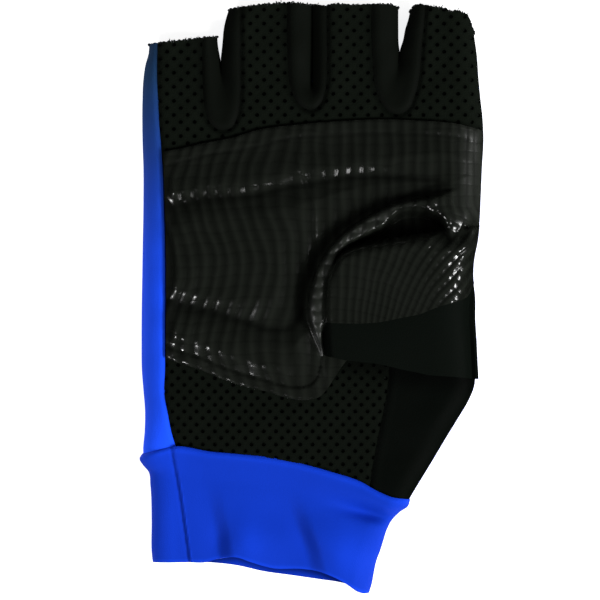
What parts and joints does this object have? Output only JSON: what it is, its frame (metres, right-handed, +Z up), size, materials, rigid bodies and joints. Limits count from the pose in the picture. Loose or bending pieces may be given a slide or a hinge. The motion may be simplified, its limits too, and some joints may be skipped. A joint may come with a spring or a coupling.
{
  "type": "fingerless cycling glove",
  "caption": "Fingerless right-hand cycling glove lying palm up, with a padded leather palm, open mesh fingers, a folded thumb sleeve and a long stretch cuff.",
  "frame": {"origin": "on the surface that the glove lies on, under the middle of its outline", "axes": "+X towards the thumb side, +Y towards the fingertips, +Z up out of the palm side"},
  "size_m": [0.1095, 0.1878, 0.0207],
  "materials": {
    "blue_stretch": "smooth blue stretch cloth with a gradient from dark at the fingers to bright at the wrist",
    "blue_cuff": "smooth blue stretch cloth, doubled",
    "black_mesh": "black open mesh with staggered round holes",
    "black_stretch": "matt black stretch cloth",
    "grip_leather": "glossy black leather embossed with a lattice"
  },
  "bodies": {
    "root": {"back_panel": "blue_stretch", "palm_mesh": "black_mesh", "wrist_gusset": "black_stretch", "fourchette_little_ring": "black_stretch", "fourchette_ring_middle": "black_stretch", "fourchette_middle_index": "black_stretch", "palm_patch": "grip_leather", "thumb_sleeve": "black_stretch", "thumb_patch": "grip_leather", "cuff": "blue_cuff"}
  },
  "joints": []
}
